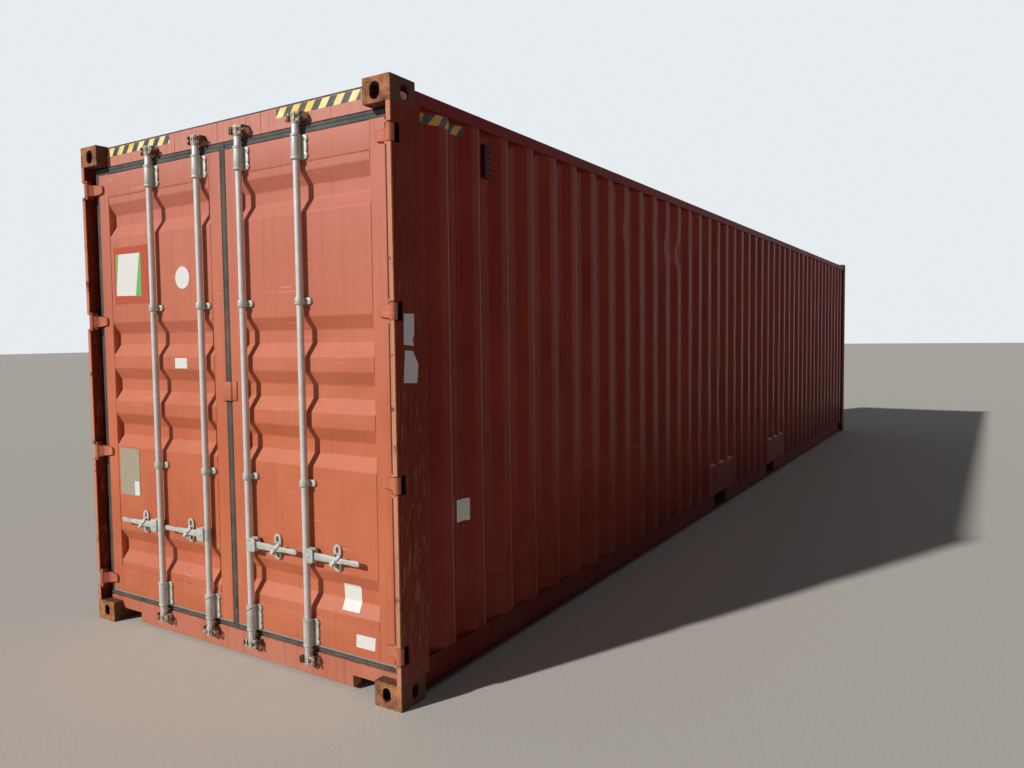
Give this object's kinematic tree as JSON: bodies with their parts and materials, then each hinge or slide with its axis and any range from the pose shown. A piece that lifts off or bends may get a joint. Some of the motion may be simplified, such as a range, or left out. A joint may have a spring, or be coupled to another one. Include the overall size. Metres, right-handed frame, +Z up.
{
  "type": "freight container",
  "caption": "Rust-red forty foot high cube freight container with corrugated steel walls and roof, hinged double doors with galvanised lock bars, timber floor and fork pockets.",
  "frame": {"origin": "centre of the base, on the ground under the bottom corner castings", "axes": "+X along the box from the doors to the closed front end, +Y to the left as seen from outside the doors, +Z up"},
  "size_m": [12.192, 2.438, 2.896],
  "materials": {
    "wall_paint": "satin",
    "frame_paint": "satin, weathered",
    "rusted_casting": "painted and rusted",
    "galvanised": "galvanised, dull",
    "seal_rubber": "matt, stained",
    "floor_timber": "worn plywood"
  },
  "bodies": {
    "container": {"door_castings_top": "rusted_casting", "door_castings_bottom": "rusted_casting", "front_castings_top": "rusted_casting", "front_castings_bottom": "rusted_casting", "door_post_left": "frame_paint", "door_post_right": "frame_paint", "front_post_left": "frame_paint", "front_post_right": "frame_paint", "door_header": "frame_paint", "door_sill": "frame_paint", "front_top_rail": "frame_paint", "front_bottom_rail": "frame_paint", "top_rail_left": "frame_paint", "top_rail_right": "frame_paint", "bottom_rail_left": "frame_paint", "bottom_rail_right": "frame_paint", "side_wall_left": "wall_paint", "side_wall_right": "wall_paint", "front_wall": "wall_paint", "roof_sheet": "wall_paint", "roof_corner_plates": "wall_paint", "floor_boards": "floor_timber", "cross_members": "frame_paint", "fork_pockets": "frame_paint", "neck_tunnel": "frame_paint", "fork_cover_plates": "wall_paint", "ventilators": "wall_paint", "lock_keepers": "rusted_casting"},
    "left_door": {"left_door_leaf": "wall_paint", "left_door_seal": "seal_rubber", "left_door_hinges": "frame_paint", "left_door_fittings": "galvanised"},
    "right_door": {"right_door_leaf": "wall_paint", "right_door_seal": "seal_rubber", "right_door_hinges": "frame_paint", "right_door_fittings": "galvanised"},
    "bar_1": {"lock_bar_1": "galvanised"},
    "handle_1": {"lock_handle_1": "galvanised"},
    "bar_2": {"lock_bar_2": "galvanised"},
    "handle_2": {"lock_handle_2": "galvanised"},
    "bar_3": {"lock_bar_3": "galvanised"},
    "handle_3": {"lock_handle_3": "galvanised"},
    "bar_4": {"lock_bar_4": "galvanised"},
    "handle_4": {"lock_handle_4": "galvanised"}
  },
  "joints": [
    {"name": "left_door_hinge", "type": "hinge", "parent": "container", "child": "left_door", "pos_m": [-6.074, 1.197, 1.45], "axis": [0, 0, -1], "range_deg": [0, 258]},
    {"name": "right_door_hinge", "type": "hinge", "parent": "container", "child": "right_door", "pos_m": [-6.074, -1.197, 1.45], "axis": [0, 0, 1], "range_deg": [0, 258]},
    {"name": "bar_1_turn", "type": "hinge", "parent": "left_door", "child": "bar_1", "pos_m": [-6.066, 0.594, 1.45], "axis": [0, 0, -1], "range_deg": [-110, 0]},
    {"name": "bar_2_turn", "type": "hinge", "parent": "left_door", "child": "bar_2", "pos_m": [-6.066, 0.171, 1.45], "axis": [0, 0, -1], "range_deg": [-110, 0]},
    {"name": "bar_3_turn", "type": "hinge", "parent": "right_door", "child": "bar_3", "pos_m": [-6.066, -0.171, 1.45], "axis": [0, 0, 1], "range_deg": [-110, 0]},
    {"name": "bar_4_turn", "type": "hinge", "parent": "right_door", "child": "bar_4", "pos_m": [-6.066, -0.594, 1.45], "axis": [0, 0, 1], "range_deg": [-110, 0]},
    {"name": "handle_1_lift", "type": "hinge", "parent": "bar_1", "child": "handle_1", "pos_m": [-6.0755, 0.631, 0.65], "axis": [-1, 0, 0], "range_deg": [-20, 0]},
    {"name": "handle_2_lift", "type": "hinge", "parent": "bar_2", "child": "handle_2", "pos_m": [-6.0755, 0.208, 0.65], "axis": [-1, 0, 0], "range_deg": [-20, 0]},
    {"name": "handle_3_lift", "type": "hinge", "parent": "bar_3", "child": "handle_3", "pos_m": [-6.0755, -0.208, 0.65], "axis": [1, 0, 0], "range_deg": [-20, 0]},
    {"name": "handle_4_lift", "type": "hinge", "parent": "bar_4", "child": "handle_4", "pos_m": [-6.0755, -0.631, 0.65], "axis": [1, 0, 0], "range_deg": [-20, 0]}
  ]
}
